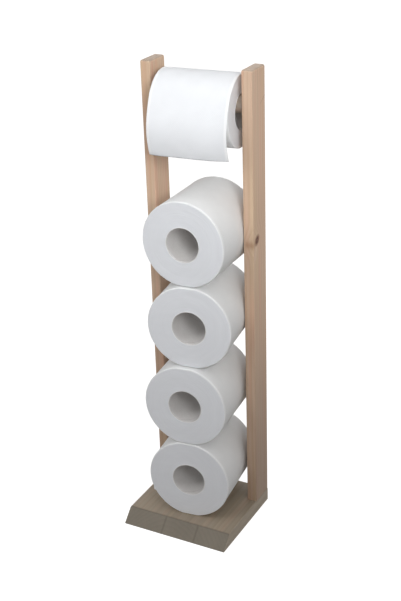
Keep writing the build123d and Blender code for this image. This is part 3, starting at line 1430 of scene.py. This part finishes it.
@dataclass
class Rolls:
    """All the paper rolls that the holder carries."""

    full: float = 56 * MM
    used: float = 45 * MM
    press: float = 1.0 * MM
    spares: int = 4
    tab: float = math.radians(335)
    first_seam: float = 3.85
    seam_step: float = 0.45
    seed_step: float = 5.3
    loose: Colour = paint(240, 242, 245)

    def build(self, tissue: bpy.types.Material, board: bpy.types.Material) -> None:
        """Makes the spare rolls, the roll in use and its loose sheet.

        Args:
            tissue: The rolls' paper.
            board: The cores' board.
        """
        full_outline = Outline(face=112, corner=7, outside=12, bore=8)
        used_outline = Outline(face=84, corner=7, outside=12, bore=8)
        core_outline = Outline(face=2, corner=2, outside=48, bore=48)
        winding = TubeTree("full_winding_nodes", full_outline, 168, outer_turn=True)
        used = TubeTree("used_winding_nodes", used_outline, 160)
        tube = TubeTree("core_nodes", core_outline, 96)
        for number in range(1, self.spares + 1):
            roll = PaperRoll(
                f"spare_roll_{number}",
                f"spare_roll_{number}_pull",
                self.full,
                press_top=self.press if number > 1 else 0.0,
                press_bottom=self.press,
                seam=self.first_seam + self.seam_step * (number - 1),
                tab=self.tab if number == self.spares else -1.0,
                seed=self.seed_step * number,
            )
            roll.build(winding, tube, tissue, board)
        top = PaperRoll("top_roll", "top_roll_spin", self.used, seed=40.0)
        top.build(used, tube, tissue, board)
        LooseSheet(top).build(Tissue("loose_tissue", sheet=self.loose).material())


@dataclass(frozen=True)
class Lamp:
    """A soft square lamp: where it hangs, where it looks, its side, its power in watts and its spread."""

    name: str
    place: tuple[float, float, float]
    aim: tuple[float, float, float]
    size: float
    power: float
    spread: float = math.pi


@dataclass
class Studio:
    """The camera where the photographer stood, a pale floor and soft light from above."""

    azimuth: float = math.radians(28.668)
    elevation: float = math.radians(24.892)
    tilt: float = math.radians(-1.860)
    place: tuple[float, float, float] = (661.90 * MM, -1182.22 * MM, 947.43 * MM)
    lens: float = 70.85
    sensor: float = 36.0
    floor_half: float = 9.0
    floor_tone: Colour = (0.35, 0.343, 0.337, 1.0)
    floor_glow: float = 0.92
    surround_tint: Colour = (1.0, 0.982, 0.972, 1.0)
    surround: float = 0.5
    white: Colour = (1.0, 1.0, 1.0, 1.0)
    lamp_tint: tuple[float, float, float] = (0.975, 0.99, 1.0)
    lamps: tuple[Lamp, ...] = (
        Lamp("right_lamp", (0.66, -0.67, 0.9), (0.03, 0.0, 0.58), 0.4, 0.77, math.radians(60)),
        Lamp("left_lamp", (-0.3, -0.6, 0.95), (0.0, 0.0, 0.42), 0.4, 1.7),
        Lamp("rear_lamp", (-0.35, 1.2, 0.9), (0.0, 0.0, 0.42), 0.8, 2.0),
        Lamp("overhead_lamp", (0.05, -0.05, 1.45), (0.0, 0.0, 0.42), 0.4, 0.7),
    )

    def camera(self) -> None:
        """Sets up the camera."""
        cos_a, sin_a = math.cos(self.azimuth), math.sin(self.azimuth)
        cos_e, sin_e = math.cos(self.elevation), math.sin(self.elevation)
        back = Vector((sin_a * cos_e, -cos_a * cos_e, sin_e))
        level = Vector((cos_a, sin_a, 0.0))
        rise = back.cross(level)
        right = level * math.cos(self.tilt) + rise * math.sin(self.tilt)
        up = rise * math.cos(self.tilt) - level * math.sin(self.tilt)
        data = bpy.data.cameras.new("photo_camera")
        data.lens = self.lens
        data.sensor_width = self.sensor
        camera = bpy.data.objects.new("photo_camera", data)
        axes = Matrix((right, up, back)).transposed().to_4x4()
        camera.matrix_world = Matrix.Translation(self.place) @ axes
        bpy.context.scene.collection.objects.link(camera)
        bpy.context.scene.camera = camera

    def hang(self, lamp: Lamp) -> None:
        """Hangs one lamp, which the camera doesn't see.

        Args:
            lamp: The lamp.
        """
        data = bpy.data.lights.new(lamp.name, "AREA")
        data.shape = "SQUARE"
        data.size = lamp.size
        data.energy = lamp.power
        data.spread = lamp.spread
        data.color = self.lamp_tint
        hung = bpy.data.objects.new(lamp.name, data)
        hung.location = lamp.place
        hung.rotation_euler = (Vector(lamp.aim) - hung.location).to_track_quat("-Z", "Y").to_euler()
        hung.visible_camera = False
        bpy.context.scene.collection.objects.link(hung)

    @staticmethod
    def seen_directly(bench: Bench) -> Wire:
        """1 where the camera sees a thing itself, in gloss or through glass.

        Args:
            bench: The bench of the world or the floor.

        Returns:
            The 1 or 0 as a wire.
        """
        path = bench.node("ShaderNodeLightPath")
        names = ("Is Camera Ray", "Is Glossy Ray", "Is Transmission Ray")
        seen = [Wire(bench, path.outputs[name]) for name in names]
        return (seen[0] + seen[1] + seen[2]).least(1.0)

    def world(self) -> None:
        """A white surround to look at, and an even grey one to light by."""
        world = bpy.data.worlds.new("studio")
        world.use_nodes = True
        world.node_tree.nodes.clear()
        bench = Bench(world.node_tree)
        dim = {"Color": self.surround_tint, "Strength": self.surround}
        light = bench.wire("ShaderNodeBackground", {}, dim)
        white = bench.wire("ShaderNodeBackground", {}, {"Color": self.white, "Strength": 1.0})
        mixed = bench.wire("ShaderNodeMixShader", {}, {0: self.seen_directly(bench), 1: light, 2: white})
        bench.node("ShaderNodeOutputWorld", {}, {"Surface": mixed})
        bpy.context.scene.world = world

    def floor(self) -> None:
        """A pale floor that shows white and gives soft light back."""
        half = self.floor_half
        mesh = bpy.data.meshes.new("floor")
        corners = [(-half, -half, 0.0), (half, -half, 0.0), (half, half, 0.0), (-half, half, 0.0)]
        mesh.from_pydata(corners, [], [(0, 1, 2, 3)])
        floor = bpy.data.objects.new("floor", mesh)
        bpy.context.scene.collection.objects.link(floor)
        bench = SurfaceBench("pale_floor")
        grey = bench.wire("ShaderNodeBsdfDiffuse", {}, {"Color": self.floor_tone})
        bright_sockets = {"Color": self.white, "Strength": self.floor_glow}
        glow = bench.wire("ShaderNodeEmission", {}, bright_sockets)
        bright = bench.wire("ShaderNodeAddShader", {}, {0: grey, 1: glow})
        shown = bench.wire("ShaderNodeMixShader", {}, {0: self.seen_directly(bench), 1: grey, 2: bright})
        bench.node("ShaderNodeOutputMaterial", {}, {"Surface": shown})
        mesh.materials.append(bench.material)

    def build(self) -> None:
        """Sets the whole studio up."""
        self.camera()
        for lamp in self.lamps:
            self.hang(lamp)
        self.world()
        self.floor()
        bpy.context.scene.view_settings.view_transform = "Standard"


def main() -> None:
    """Builds the object and its studio."""
    logging.basicConfig(level=logging.INFO, format="%(message)s")
    Holder().build()
    Screws().build(ZincSteel().material())
    Rolls().build(Tissue("roll_tissue").material(), Cardboard().material())
    Studio().build()


if __name__ == "__main__":
    main()
